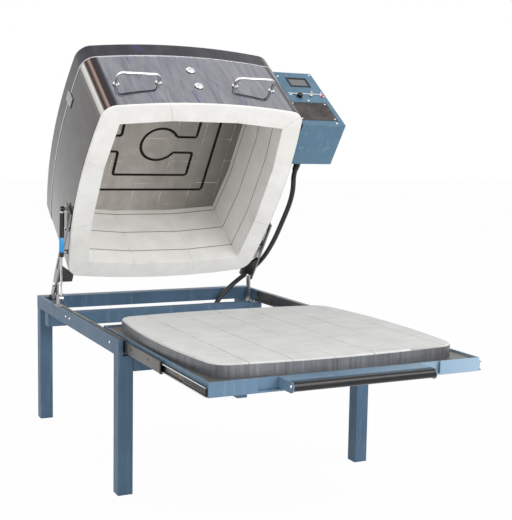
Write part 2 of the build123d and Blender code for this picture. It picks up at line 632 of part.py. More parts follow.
def turned_gland(length, radius):
    """Cable gland along +Z: hexagon foot, dome nut and a bore for the conduit's end."""
    body = extrude(RegularPolygon(radius, 6), 8) + Pos(0, 0, 8) * extrude(Circle(radius * 0.8), length - 8)
    return chamfer(body.faces().sort_by(Axis.Z)[-1].edges(), 2)


def conduit_points():
    exit_point = hood_to_world(CONDUIT_EXIT[0], CONDUIT_EXIT[1] + GLAND_LENGTH, CONDUIT_EXIT[2])
    straight = hood_to_world(CONDUIT_EXIT[0], CONDUIT_EXIT[1] + GLAND_LENGTH + 46, CONDUIT_EXIT[2])
    return [exit_point, straight, (470, 88, 952), (468, 108, 893), (463, 158, 818), (459, 232, 722),
            (456, 319, 643), (446, 405, 588), (426, 434.5, 561), (394, 450.5, 533), (334, 441, 490),
            (290, 434, 443), (274, 433, 401), CONDUIT_END]


def make_conduit():
    points = [Vector(*p) for p in conduit_points()]
    radii = []
    for a, b, c in zip(points, points[1:], points[2:]):
        turn = radians((b - a).get_angle(c - b))
        run = min((b - a).length, (c - b).length)
        radii.append(0.45 * run / tan(turn / 2))
    print("conduit runs", [round((b - a).length) for a, b in zip(points, points[1:])])
    print("conduit radii", [round(r) for r in radii])
    path = FilletPolyline(*points, radius=radii)
    tube = sweep(Plane(origin=path @ 0, z_dir=path % 0) * Circle(CONDUIT / 2), path=path)
    ratio = tube.volume / (pi * CONDUIT ** 2 / 4 * path.length)
    print("conduit length", round(path.length), "volume against section x length", round(ratio, 4))
    add("conduit", tube)

    x, y, z = CONDUIT_EXIT
    add_hood("conduit_gland", Pos(x, y, z) * Rot(-90, 0, 0) * turned_gland(GLAND_LENGTH, 16))
    ex, ey, ez = CONDUIT_END
    box_top = ez - GLAND_LENGTH
    add("terminal_gland", Pos(ex, ey, box_top) * turned_gland(GLAND_LENGTH, 16))
    outer = block((ex - 55, ex + 55), (ey - 34, ey + 32), (box_top - 80, box_top))
    outer = fillet(outer.edges().filter_by(Axis.Z), 5)
    add("terminal_box", outer)
    back = CROSS_MEMBER_Y + TUBE / 2
    hanger = block((ex - 62, ex + 62), (back, back + 4), (box_top - 86, LEG_TOP))
    add("terminal_box", hanger)


make_stand()
make_slides()
make_drawer()
make_hinges()
make_arms()
make_wall_courses()
make_roof()
make_jacket()
make_bow_handles()
make_plugs()
make_control_box()
make_strut()
make_conduit()

os.makedirs("parts", exist_ok=True)
CORD_NODES = ("conduit",)
rigid = Compound(children=[Compound(s) for n, s in nodes.items() if n not in CORD_NODES])
box = rigid.bounding_box()
print("box of the rigid pieces", box.min, box.max)
print("middle", (box.min.X + box.max.X) / 2, (box.min.Y + box.max.Y) / 2)
for name, solids in nodes.items():
    export_step(Pos(*ORIGIN) * Compound(solids), os.path.join("parts", name + ".step"))
print(len(nodes), "nodes")
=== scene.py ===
import json
from math import cos, pi, radians, sin, sqrt

import bmesh
import bpy
from mathutils import Matrix, Vector


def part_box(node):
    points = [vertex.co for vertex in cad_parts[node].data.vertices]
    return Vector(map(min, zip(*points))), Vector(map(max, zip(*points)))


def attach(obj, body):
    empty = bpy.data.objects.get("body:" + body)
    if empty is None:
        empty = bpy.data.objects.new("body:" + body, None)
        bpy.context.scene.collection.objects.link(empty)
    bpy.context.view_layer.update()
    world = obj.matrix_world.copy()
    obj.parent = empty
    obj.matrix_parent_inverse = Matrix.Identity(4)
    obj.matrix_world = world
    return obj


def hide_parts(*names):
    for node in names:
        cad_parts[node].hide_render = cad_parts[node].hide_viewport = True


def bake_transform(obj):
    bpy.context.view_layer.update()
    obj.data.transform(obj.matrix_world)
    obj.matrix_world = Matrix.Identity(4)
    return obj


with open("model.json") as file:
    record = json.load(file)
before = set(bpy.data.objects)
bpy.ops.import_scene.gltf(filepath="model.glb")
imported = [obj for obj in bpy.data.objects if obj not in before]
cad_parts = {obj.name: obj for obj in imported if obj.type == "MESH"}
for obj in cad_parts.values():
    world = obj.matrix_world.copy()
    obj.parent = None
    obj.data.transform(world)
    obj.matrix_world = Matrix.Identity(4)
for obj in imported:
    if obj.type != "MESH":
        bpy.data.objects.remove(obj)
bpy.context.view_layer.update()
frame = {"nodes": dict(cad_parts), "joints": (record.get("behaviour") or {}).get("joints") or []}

NODES = frame["nodes"]

# Two working frames, both in millimetres: the stand's own, from its middle on the floor, and the
# closed hood's, from the hinge line, which tips back by OPEN at rest
MM = 0.001
LEGS_LOW, LEGS_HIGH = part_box("legs")
STAND_X = (LEGS_LOW.x + LEGS_HIGH.x) / 2
STAND_Y = (LEGS_LOW.y + LEGS_HIGH.y) / 2
HINGE = next(joint for joint in frame["joints"] if joint["name"] == "hood_hinge")
PIVOT = Vector(HINGE["pos_m"])
OPEN = radians(HINGE["range_deg"][1])
STAND_FRAME = Matrix.Translation((STAND_X, STAND_Y, 0)) @ Matrix.Scale(MM, 4)
HOOD_TIPPED = Matrix.Translation((STAND_X, PIVOT.y, PIVOT.z)) @ Matrix.Rotation(-OPEN, 4, "X")
HOOD_FRAME = HOOD_TIPPED @ Matrix.Scale(MM, 4)

# Hood and hearth, in millimetres
RIM_Z = -20.3
ROOF_UNDER = 313.7
HOOD_MIDDLE_Y = -459
HALF_X = 421.5
HALF_Y = 423
CORNER_INSET_X = 88
CORNER_INSET_Y = 84
CHAMBER_CORNERS = ((341, 130), (321, 325), (126, 345))
COURSE_FIRST = 78.8
COURSE_PITCH = 114.5
ROOF_JOINT_PITCH = 124
ROOF_JOINT_X = -62
HEARTH_JOINT_PITCH = 129
HEARTH_JOINT_X = -38
HEARTH_Y = -701.6
BRICK_LENGTH = 229

# The control box's front face, with the corners of its bare plate and of the plate's bright folded edge
PANEL_FRONT = -800
CONTROL_PLATE = ((424, PANEL_FRONT - 0.9, 206), (594, PANEL_FRONT - 0.1, 246))
CONTROL_PLATE_EDGE = ((430, PANEL_FRONT - 1.6, 202), (592, PANEL_FRONT - 0.1, 206.5))

# The gas strut: its foot in the stand's frame, its top in the hood's, and profiles of (distance, radius)
STRUT_FOOT = (-446, 226, 528)
STRUT_TOP = (-446, -355, 39)
SLEEVE_START = 178
SLEEVE_PROFILE = [(0.2, 9.02), (0, 9.1), (0.4, 9.35), (54.6, 9.35), (55, 9.1), (54.8, 9.02)]
NUT_PROFILE = [(0, 5.2), (0, 7), (1, 7.6), (8, 7.6), (9, 7), (9, 5.2)]
ROD_NUT_FROM_FOOT = 10
CYLINDER_NUT_FROM_TOP = 20

# The drawer's slides in the stand's frame. X is a distance from the middle to either side, and a pair
# holds a low and a high end
LIP_X = 442.6
LIP_ENDS = (-1156.5, -846)
LIP_HEIGHTS = (468.4, 491.6)
LIP_RADIUS = 1.5
CAGE_X = (436.2, 441.0)
CAGE_Y = (-1152, -1002)
CAGE_Z = (472.5, 487.5)
BALL_COUNT = 9
BALL_PITCH = 16.5
FIRST_BALL = (440.2, -1146, 480)
BALL_PROFILE = [(0, 3.6), (1.3, 3.2), (2.1, 1.8)]
CLIP_Y = (-842, -836)
CLIP_WALLS = (
    ((446.6, 447.7), (461.6, 498.4)),
    ((438.4, 447.7), (497.6, 498.6)),
    ((438.4, 447.7), (461.4, 462.4)),
)

# The conduit's route in the stand's frame, from the hood's gland to the terminal box
CONDUIT = 20
CONDUIT_ROUTE = [
    (465, 53.1, 1046.0), (465, 80.2, 1008.8), (470, 88, 952), (468, 108, 893), (463, 158, 818),
    (459, 232, 722), (456, 319, 643), (446, 405, 588), (426, 434.5, 561), (394, 450.5, 533),
    (334, 441, 490), (290, 434, 443), (274, 433, 401), (274, 433, 358),
]
BOOT_PROFILE = [
    (0, 10.2), (0, 13.5), (6, 13.5), (7, 12.4), (11, 12.2), (12, 12.9), (15, 12.8),
    (16, 11.8), (20, 11.6), (21, 12.2), (24, 12.0), (25, 11.2), (29, 11.0), (30, 10.2),
]

# The photograph's view: focal length in pixels of a frame FRAME_WIDTH wide, and a place in the stand's frame
FOCAL = 994.753
FRAME_WIDTH = 512
AZIMUTH, PITCH, ROLL = radians(-26.198), radians(6.313), radians(1.028)
CAMERA_PLACE = (-1433.809, -3452.035, 1101.167)

# Surroundings in metres; each lamp has a place and a power. The world is dimmer as light than as seen
FLOOR_REACH = 30
FLOOR_GLOW = 0.97
WORLD_LIGHT = 0.62
WORLD_SEEN = 1.0
LAMP_SIZE = 3.0
LAMP_TARGET = (0, 0, 0.6)
LAMPS = {
    "key": ((2.2, -4.2, 3.4), 115),
    "low": ((0.4, -4.8, 1.0), 46),
    "left": ((-3.4, -2.4, 3.0), 26),
    "back": ((-0.6, 3.6, 3.6), 45),
}


def colour(red, green, blue):
    """Linear colour with alpha from 8-bit sRGB."""
    def linear(c):
        c /= 255
        return c / 12.92 if c <= 0.04045 else ((c + 0.055) / 1.055) ** 2.4
    return (linear(red), linear(green), linear(blue), 1.0)


def grey(level):
    return colour(level, level, level)


def tones(*stops):
    """Ramp stops from rows of a position and an 8-bit colour."""
    return [(position, colour(*levels)) for position, *levels in stops]


# Painted shade and reflection on the stainless jacket: darker tones for the sides, streaky tones for the
# front, bright and dark bands round each corner
JACKET_SIDE_SHADE_TONES = tones((0.25, 62, 59, 57), (0.48, 76, 73, 72), (0.7, 90, 88, 87))
JACKET_FRONT_REFLECTION_TONES = tones(
    (0.28, 124, 126, 136), (0.45, 142, 143, 151), (0.58, 152, 153, 160), (0.74, 166, 167, 172),
)
JACKET_CORNER_REFLECTION_TONES = tones(
    (0.0, 140, 137, 132), (0.1, 70, 62, 58), (0.2, 196, 192, 188), (0.34, 226, 224, 222), (0.42, 88, 74, 66),
    (0.5, 58, 50, 48), (0.62, 176, 150, 138), (0.68, 64, 56, 56), (0.86, 58, 56, 62), (1.0, 112, 112, 122),
)
ROOF_CAP_TONES = tones((0.3, 56, 54, 59), (0.5, 66, 64, 70), (0.7, 80, 78, 85))
WRAP_TONES = tones((0.26, 98, 99, 102), (0.5, 122, 124, 128), (0.74, 146, 147, 150))
COVER_TONES = tones((0.3, 50, 45, 44), (0.5, 72, 66, 65), (0.72, 98, 92, 90))


class Finish:
    """One material's nodes. Each method adds nodes and returns an output socket."""

    def __init__(self, name, metallic=0.0, roughness=0.5, coat=0.0, specular=0.5):
        self.material = bpy.data.materials.new(name)
        self.material.use_nodes = True
        self.tree = self.material.node_tree
        self.tree.nodes.clear()
        self.shader = self.add("ShaderNodeBsdfPrincipled")
        self.output = self.add("ShaderNodeOutputMaterial")
        self.put(self.output.inputs["Surface"], self.shader.outputs["BSDF"])
        self.shader.inputs["Metallic"].default_value = metallic
        self.shader.inputs["Roughness"].default_value = roughness
        self.shader.inputs["Coat Weight"].default_value = coat
        self.shader.inputs["Specular IOR Level"].default_value = specular
        self.where = self.add("ShaderNodeTexCoord").outputs["Object"]

    def add(self, kind, **settings):
        node = self.tree.nodes.new(kind)
        for key, value in settings.items():
            setattr(node, key, value)
        return node

    def put(self, socket, value):
        if isinstance(value, bpy.types.NodeSocket):
            self.tree.links.new(value, socket)
        else:
            socket.default_value = value

    def shade(self, **values):
        """Set the shader's own inputs; underscores stand for spaces."""
        for key, value in values.items():
            self.put(self.shader.inputs[key.replace("_", " ")], value)
        return self

    def maths(self, operation, a, b=0.0, c=0.0):
        node = self.add("ShaderNodeMath", operation=operation)
        for socket, value in zip(node.inputs, (a, b, c)):
            self.put(socket, value)
        return node.outputs[0]

    def times(self, a, b):
        return self.maths("MULTIPLY", a, b)

    def plus(self, a, b):
        return self.maths("ADD", a, b)

    def minus(self, a, b):
        return self.maths("SUBTRACT", a, b)

    def opposite(self, a):
        """1 where a is 0, and 0 where it is 1."""
        return self.maths("SUBTRACT", 1.0, a)

    def place(self, matrix=STAND_FRAME):
        """Object coordinates in millimetres of a working frame."""
        node = self.add("ShaderNodeMapping", vector_type="POINT")
        inverse = matrix.inverted()
        self.put(node.inputs["Vector"], self.where)
        node.inputs["Location"].default_value = inverse.to_translation()
        node.inputs["Rotation"].default_value = inverse.to_euler()
        node.inputs["Scale"].default_value = inverse.to_scale()
        return node.outputs[0]

    def stretch(self, vector, factors):
        node = self.add("ShaderNodeVectorMath", operation="MULTIPLY")
        self.put(node.inputs[0], vector)
        node.inputs[1].default_value = factors
        return node.outputs[0]

    def axes(self, vector):
        node = self.add("ShaderNodeSeparateXYZ")
        self.put(node.inputs[0], vector)
        return node.outputs

    def noise(self, vector, scale, detail=3.0, rough=0.5, distortion=0.0):
        """Noise whose scale is per millimetre of the vector."""
        node = self.add("ShaderNodeTexNoise")
        self.put(node.inputs["Vector"], vector)
        settings = {"Scale": scale, "Detail": detail, "Roughness": rough, "Distortion": distortion}
        for key, value in settings.items():
            node.inputs[key].default_value = value
        return node.outputs[0]

    def cells(self, vector, scale):
        """Distance to the nearest of many scattered points."""
        node = self.add("ShaderNodeTexVoronoi")
        self.put(node.inputs["Vector"], vector)
        node.inputs["Scale"].default_value = scale
        return node.outputs["Distance"]

    def ramp(self, value, stops):
        """Colour ramp; each stop is (position, colour)."""
        node = self.add("ShaderNodeValToRGB")
        elements = node.color_ramp.elements
        while len(elements) < len(stops):
            elements.new(0.5)
        for element, (position, tone) in zip(elements, stops):
            element.position = position
            element.color = tone
        self.put(node.inputs[0], value)
        return node.outputs[0]

    def between(self, value, low, high):
        """0 at low, 1 at high."""
        node = self.add("ShaderNodeMapRange")
        self.put(node.inputs[0], value)
        node.inputs[1].default_value = low
        node.inputs[2].default_value = high
        return node.outputs[0]

    def mix(self, amount, a, b):
        node = self.add("ShaderNodeMix", data_type="RGBA")
        self.put(node.inputs[0], amount)
        self.put(node.inputs[6], a)
        self.put(node.inputs[7], b)
        return node.outputs[2]

    def rounded(self, radius):
        """Normal with edges rounded by a radius in millimetres."""
        node = self.add("ShaderNodeBevel", samples=4)
        node.inputs["Radius"].default_value = radius * MM
        return node.outputs[0]

    def edges(self, radius):
        """1 on sharp edges, 0 on flat faces."""
        geometry = self.add("ShaderNodeNewGeometry")
        dot = self.add("ShaderNodeVectorMath", operation="DOT_PRODUCT")
        self.put(dot.inputs[0], self.rounded(radius))
        self.put(dot.inputs[1], geometry.outputs["Normal"])
        return self.between(self.opposite(dot.outputs["Value"]), 0.02, 0.25)

    def bump(self, height, strength, distance, normal=None):
        """Relief from a height map; distance in millimetres."""
        node = self.add("ShaderNodeBump")
        self.put(node.inputs["Height"], height)
        node.inputs["Strength"].default_value = strength
        node.inputs["Distance"].default_value = distance * MM
        if normal is not None:
            self.put(node.inputs["Normal"], normal)
        return node.outputs[0]

    def line(self, value, pitch, start, half_width, soft=0.6):
        """1 on lines every pitch millimetres, the first at start."""
        wrapped = self.maths("WRAP", self.minus(value, start - pitch / 2), pitch, 0.0)
        away = self.maths("ABSOLUTE", self.minus(wrapped, pitch / 2))
        return self.opposite(self.between(away, half_width - soft, half_width + soft))


def paint(name, tone, wear, dirt, fade=0.0):
    """Stove enamel: slight mottle, orange peel, rubbed edges and scuffs; fade paints a highlight that makes
    its right end paler.
    """
    roughness = 0.45
    f = Finish(name, roughness=roughness, coat=0.03, specular=0.22)
    mm = f.place()
    cloud = f.noise(mm, 0.006, 4.0)
    body = f.mix(f.between(cloud, 0.3, 0.7), tone, dirt)
    streak = f.noise(f.stretch(mm, (1, 1, 0.12)), 0.05, 4.0, 0.65)
    body = f.mix(f.times(f.between(streak, 0.55, 0.8), 0.35), body, wear)
    scuff = f.between(f.noise(mm, 0.22, 6.0, 0.75), 0.62, 0.7)
    rub = f.times(f.edges(2.0), f.between(f.noise(mm, 0.05, 5.0, 0.7), 0.35, 0.6))
    worn = f.maths("MAXIMUM", f.times(scuff, 0.18), f.times(rub, 0.75))
    body = f.mix(worn, body, wear)
    # Painted highlight: the right end lightened toward the wear tone, as if lit from the right
    if fade:
        paler = f.times(f.between(f.axes(mm)[0], -60, 440), fade)
        body = f.mix(paler, body, wear)
    peel = f.bump(f.noise(mm, 0.7, 2.0), 0.12, 0.3, f.rounded(1.6))
    rough = f.between(f.noise(mm, 0.02, 4.0), 0.2, 0.8)
    rough = f.plus(f.times(rough, 0.16), roughness - 0.08)
    return f.shade(Base_Color=body, Roughness=rough, Normal=peel).material


def steel(name, dark, light, roughness, grain=(1, 1, 1), grain_scale=0.6, depth=0.12):
    """Bare sheet steel with a directional grain and rubbed patches."""
    f = Finish(name, metallic=1.0, roughness=roughness)
    mm = f.place()
    lines = f.noise(f.stretch(mm, grain), grain_scale, 5.0, 0.7)
    cloud = f.noise(mm, 0.012, 4.0, 0.6)
    mixed = f.plus(f.times(lines, 0.6), f.times(cloud, 0.4))
    body = f.mix(f.between(mixed, 0.32, 0.68), dark, light)
    rough = f.plus(f.times(f.between(lines, 0.3, 0.7), 0.14), roughness - 0.07)
    relief = f.bump(lines, depth, 0.2, f.rounded(0.8))
    return f.shade(Base_Color=body, Roughness=rough, Normal=relief).material


def plastic(name, tone, highlight, roughness=0.4, grain=1.2, strength=0.1, coat=0.0, specular=0.5):
    """Moulded plastic or rubber with a fine grain and lighter edges, part rubbing and part painted highlight.
    """
    f = Finish(name, roughness=roughness, coat=coat, specular=specular)
    mm = f.place()
    body = f.mix(f.times(f.between(f.noise(mm, 0.03, 4.0), 0.4, 0.75), 0.5), tone, highlight)
    # Lighter edges toward the highlight tone: part rubbing, part painted highlight
    body = f.mix(f.times(f.edges(0.7), 0.35), body, highlight)
    relief = f.bump(f.noise(mm, grain, 2.0), strength, 0.15, f.rounded(0.6))
    rough = f.plus(f.times(f.noise(mm, 0.08, 3.0), 0.16), roughness - 0.08)
    return f.shade(Base_Color=body, Roughness=rough, Normal=relief).material


def chrome(name, low, high, roughness=0.12):
    """Bright plating whose colour is a painted reflection set by which way each face points: pale on top,
    with the darker band that round bars show below.
    """
    f = Finish(name, metallic=1.0, roughness=roughness)
    mm = f.place()
    geometry = f.add("ShaderNodeNewGeometry")
    up = f.axes(geometry.outputs["Normal"])[2]
    wavy = f.plus(up, f.times(f.noise(mm, 0.03, 2.0), 0.3))
    # Painted reflection: pale where the face points up, a dark band where it points level, lighter again
    # where it points down
    bands = [(0.0, grey(170)), (0.28, low), (0.44, grey(60)), (0.56, high), (1.0, high)]
    body = f.ramp(f.between(wavy, -1.0, 1.2), bands)
    rough = f.plus(f.times(f.noise(mm, 0.4, 4.0, 0.7), 0.12), roughness - 0.04)
    relief = f.bump(f.noise(mm, 0.9, 3.0), 0.05, 0.1, f.rounded(0.5))
    return f.shade(Base_Color=body, Roughness=rough, Normal=relief).material


def firebrick(name, fresh, stained, pores, coordinates, joints, joint_tone, relief_strength=0.35):
    """Soft insulating firebrick: chalky, speckled with small pores, with thin joints."""
    f = Finish(name, roughness=0.95, specular=0.15)
    mm = f.place(coordinates)
    cloud = f.noise(mm, 0.011, 5.0, 0.6)
    body = f.mix(f.between(cloud, 0.38, 0.68), fresh, stained)
    speck = f.between(f.noise(mm, 0.55, 4.0, 0.75), 0.62, 0.72)
    body = f.mix(f.times(speck, 0.22), body, pores)
    dots = f.opposite(f.between(f.cells(mm, 0.045), 0.03, 0.07))
    body = f.mix(f.times(dots, 0.35), body, pores)
    grain = f.noise(mm, 1.1, 5.0, 0.7)
    height = f.minus(grain, f.times(dots, 0.6))
    mask = joints(f, mm)
    body = f.mix(mask, body, joint_tone)
    height = f.minus(height, mask)
    relief = f.bump(height, relief_strength, 0.8)
    return f.shade(Base_Color=body, Normal=relief).material


def broken(f, mm, scale, low, high, floor):
    """Irregular strength along a joint, never below floor."""
    fade = f.between(f.noise(mm, scale, 4.0, 0.6), low, high)
    return f.plus(f.times(fade, 1 - floor), floor)


def course_joints(f, mm):
    """Level joints round the walls, and fainter upright ones where the chamber's facets meet."""
    x, y, z = f.axes(mm)
    above_rim = f.minus(z, RIM_Z)
    wavy = f.plus(above_rim, f.times(f.noise(mm, 0.02, 2.0), 1.6))
    level = f.line(wavy, pitch=COURSE_PITCH, start=COURSE_FIRST, half_width=1.7)
    u = f.maths("ABSOLUTE", x)
    v = f.maths("ABSOLUTE", f.minus(y, HOOD_MIDDLE_Y))
    upright = 0.0
    for corner_x, corner_y in CHAMBER_CORNERS:
        reach = sqrt(corner_x ** 2 + corner_y ** 2)
        across = f.minus(f.times(u, corner_y / reach), f.times(v, corner_x / reach))
        near = f.opposite(f.between(f.maths("ABSOLUTE", across), 0.4, 1.6))
        upright = f.maths("MAXIMUM", upright, near)
    level = f.times(level, broken(f, mm, scale=0.05, low=0.3, high=0.42, floor=0.8))
    faint = f.times(broken(f, mm, scale=0.02, low=0.45, high=0.6, floor=0.0), 0.35)
    return f.maths("MAXIMUM", level, f.times(upright, faint))


def staggered(f, x, y, pitch, first, length, origin, step, half_width):
    """Joints along Y every pitch, with cross joints that step from row to row."""
    along = f.line(x, pitch, first, half_width)
    row = f.maths("FLOOR", f.maths("DIVIDE", f.minus(x, first), pitch))
    slid = f.minus(y, f.times(row, step))
    cross = f.line(slid, length, origin, half_width)
    return along, cross


def roof_brick():
    """Roof slab: greyed by firing inside, with paler mortar, painted shade darkening it toward the right, and
    painted shade deep in its grooves.
    """
    f = Finish("roof_firebrick", roughness=0.95, specular=0.15)
    mm = f.place(HOOD_FRAME)
    x, y, z = f.axes(mm)
    cloud = f.noise(mm, 0.009, 5.0, 0.65)
    body = f.mix(f.between(cloud, 0.35, 0.7), colour(190, 185, 178), colour(168, 163, 156))
    soft = f.noise(f.stretch(mm, (1, 0.25, 1)), 0.02, 3.0)
    body = f.mix(f.times(f.between(soft, 0.52, 0.75), 0.5), body, colour(206, 202, 195))
    # Painted shade: darker toward the right
    shade = f.between(x, -120, 330)
    body = f.mix(f.times(shade, 0.75), body, colour(98, 95, 90))
    along, cross = staggered(
        f, x, y, pitch=ROOF_JOINT_PITCH, first=ROOF_JOINT_X, length=BRICK_LENGTH, origin=-30, step=112,
        half_width=1.3)
    joints = f.maths("MAXIMUM", along, cross)
    joints = f.times(joints, broken(f, mm, scale=0.013, low=0.5, high=0.62, floor=0.12))
    body = f.mix(f.times(joints, 0.8), body, colour(232, 229, 222))
    # Painted shade deep in the grooves, above the roof's under face
    inside = f.between(z, ROOF_UNDER + 0.6, ROOF_UNDER + 2.5)
    body = f.mix(inside, body, colour(52, 47, 42))
    height = f.noise(mm, 0.9, 5.0, 0.7)
    return f.shade(Base_Color=body, Normal=f.bump(height, 0.4, 0.8)).material


def hearth_joints(f, mm):
    """Joints of the hearth's brick rows, faint and broken."""
    x, y, _ = f.axes(mm)
    along, cross = staggered(
        f, x, y, pitch=HEARTH_JOINT_PITCH, first=HEARTH_JOINT_X, length=BRICK_LENGTH, origin=HEARTH_Y - 20,
        step=86, half_width=1.0)
    joints = f.maths("MAXIMUM", along, f.times(cross, 0.85))
    return f.times(joints, broken(f, mm, scale=0.012, low=0.42, high=0.58, floor=0.35))


def corner_angle(f, x, y):
    """0 where a side ends and 1 where the front or back begins, round each corner of the hood."""
    u = f.minus(f.maths("ABSOLUTE", x), HALF_X - CORNER_INSET_X)
    v = f.minus(f.maths("ABSOLUTE", f.minus(y, HOOD_MIDDLE_Y)), HALF_Y - CORNER_INSET_Y)
    return f.between(f.maths("ARCTAN2", v, u), 0.05, pi / 2 - 0.05)


def jacket_steel():
    """Mirror-rolled stainless coloured with painted reflection and shade: blotchy streaks along its height
    with blue and warmer grey patches, darker sides crossed by a dark reflected curve, bright and dark bands
    round each corner.
    """
    f = Finish("jacket_stainless", metallic=1.0, roughness=0.17)
    mm = f.place(HOOD_FRAME)
    x, y, z = f.axes(mm)
    # Painted shade: the sides take darker streaky tones than the front
    side = f.noise(f.stretch(mm, (0.3, 0.6, 0.35)), 0.012, 5.0, 0.6, 0.6)
    shaded_side_tone = f.ramp(side, JACKET_SIDE_SHADE_TONES)
    tall = f.stretch(mm, (1, 1, 0.16))
    # Painted reflection: streaky front tones, with blue and warmer grey patches
    front_reflection = f.ramp(f.noise(tall, 0.035, 5.0, 0.62, 0.9), JACKET_FRONT_REFLECTION_TONES)
    blue = f.between(f.noise(tall, 0.03, 3.0, 0.5, 0.3), 0.64, 0.7)
    front_reflection = f.mix(f.times(blue, 0.6), front_reflection, colour(92, 106, 150))
    warm_reflection = f.between(f.noise(f.stretch(mm, (0.8, 1, 0.5)), 0.008, 3.0), 0.55, 0.75)
    front_reflection = f.mix(f.times(warm_reflection, 0.25), front_reflection, colour(138, 130, 132))
    # Painted reflection: bright and dark bands round each corner
    t = corner_angle(f, x, y)
    bands = f.ramp(t, JACKET_CORNER_REFLECTION_TONES)
    on_corner = f.times(f.between(t, 0.0, 0.06), f.opposite(f.between(t, 0.93, 1.0)))
    # Painted reflection: a dark wavy curve along the sides
    bend = f.plus(y, f.times(f.maths("SINE", f.times(z, 0.016)), 46))
    bend = f.plus(bend, f.times(f.noise(mm, 0.006, 2.0), 90))
    curve = f.line(bend, pitch=620, start=-560, half_width=3.5, soft=3.0)
    shaded_side_tone = f.mix(f.times(curve, 0.6), shaded_side_tone, colour(40, 38, 42))
    flat = f.mix(f.between(t, 0.45, 0.55), shaded_side_tone, front_reflection)
    body = f.mix(on_corner, flat, bands)
    rough = f.plus(f.times(f.noise(mm, 0.04, 5.0, 0.7), 0.07), 0.03)
    relief = f.bump(f.noise(f.stretch(mm, (1, 1, 0.1)), 0.02, 3.0), 0.05, 1.2, f.rounded(1.0))
    return f.shade(Base_Color=body, Roughness=rough, Normal=relief).material


def roof_cap_steel():
    """The cap over the roof: darker, with a few slanting blue reflections and fine dark slanting lines, both
    painted, and a painted highlight along its lower edge.
    """
    f = Finish("roof_cap_stainless", metallic=1.0, roughness=0.2)
    mm = f.place(HOOD_FRAME)
    x, _, z = f.axes(mm)
    cloud = f.noise(f.stretch(mm, (1, 1, 0.4)), 0.016, 5.0, 0.6, 0.5)
    body = f.ramp(cloud, ROOF_CAP_TONES)
    slant = f.plus(x, f.times(z, 0.55))
    bar = f.noise(f.stretch(mm, (1, 0.15, 0.2)), 0.022, 2.0, 0.4)
    bar = f.times(f.between(bar, 0.58, 0.66), f.line(slant, pitch=143, start=12, half_width=16, soft=9))
    upright = f.opposite(f.between(z, 360, 367))
    bar = f.times(bar, upright)
    body = f.mix(f.times(bar, 0.8), body, colour(62, 70, 112))
    # Painted reflection: fine dark slanting lines
    fine = f.times(f.line(slant, pitch=61, start=4, half_width=1.2, soft=1.0), upright)
    body = f.mix(f.times(fine, 0.35), body, colour(64, 60, 66))
    # Painted highlight: a bright band along the cap's lower edge
    hem_highlight = f.opposite(f.between(z, 290.5, 293.5))
    body = f.mix(hem_highlight, body, colour(222, 222, 226))
    rough = f.plus(f.times(f.noise(mm, 0.04, 5.0, 0.7), 0.18), 0.1)
    relief = f.bump(f.noise(mm, 0.01, 3.0), 0.1, 1.2, f.rounded(1.0))
    return f.shade(Base_Color=body, Roughness=rough, Normal=relief).material


def wrap_steel():
    """Grey steel band round the hearth, with upright streaks."""
    f = Finish("hearth_wrap_steel", metallic=0.9, roughness=0.42)
    mm = f.place(STAND_FRAME)
    streak = f.noise(f.stretch(mm, (1, 1, 0.04)), 0.09, 5.0, 0.7)
    body = f.ramp(streak, WRAP_TONES)
    mottle = f.between(f.noise(mm, 0.02, 4.0), 0.45, 0.7)
    body = f.mix(f.times(mottle, 0.4), body, colour(96, 93, 90))
    relief = f.bump(streak, 0.15, 0.3, f.rounded(0.8))
    return f.shade(Base_Color=body, Normal=relief).material


def conduit_rubber():
    """Black hose, faintly ribbed, with a soft sheen."""
    f = Finish("conduit_rubber", roughness=0.42, coat=0.15)
    mm = f.place()
    body = f.mix(f.between(f.noise(mm, 0.05, 4.0), 0.4, 0.7), colour(15, 14, 16), colour(26, 24, 26))
    relief = f.bump(f.noise(mm, 0.8, 3.0), 0.2, 0.2)
    return f.shade(Base_Color=body, Normal=relief).material


def display_glass():
    """Unlit liquid crystal behind a clear window, with faint dot rows."""
    f = Finish("display_glass", roughness=0.14, coat=0.6)
    mm = f.place(HOOD_FRAME)
    x, _, z = f.axes(mm)
    rows = f.line(z, pitch=12, start=262, half_width=3.2, soft=0.4)
    dots = f.line(x, pitch=5.4, start=470, half_width=1.8, soft=0.4)
    inside = f.times(f.between(x, 476, 478), f.opposite(f.between(x, 545, 547)))
    mask = f.times(f.times(rows, dots), inside)
    cloud = f.noise(mm, 0.05, 3.0)
    body = f.mix(f.between(cloud, 0.3, 0.7), colour(78, 80, 84), colour(92, 92, 95))
    body = f.mix(f.times(mask, 0.4), body, colour(104, 106, 108))
    return f.shade(Base_Color=body).material


def cover_steel():
    """Dark brushed cover plate on the box."""
    f = Finish("cover_steel", metallic=0.85, roughness=0.3)
    mm = f.place(HOOD_FRAME)
    brushed = f.noise(f.stretch(mm, (0.05, 1, 1)), 0.6, 4.0, 0.7)
    cloud = f.noise(mm, 0.016, 4.0, 0.6, 0.8)
    body = f.ramp(cloud, COVER_TONES)
    relief = f.bump(brushed, 0.12, 0.2, f.rounded(0.8))
    return f.shade(Base_Color=body, Normal=relief).material


def label_sleeve():
    """Bright blue wrap on the strut, a little uneven."""
    f = Finish("strut_sleeve", roughness=0.3, coat=0.3)
    mm = f.place()
    body = f.mix(f.between(f.noise(mm, 0.08, 3.0), 0.3, 0.7), colour(24, 148, 220), colour(34, 158, 228))
    return f.shade(Base_Color=body, Normal=f.bump(f.noise(mm, 0.5, 2.0), 0.08, 0.1)).material


BLUE = paint("stand_enamel", colour(84, 111, 135), colour(132, 156, 178), colour(75, 100, 123))
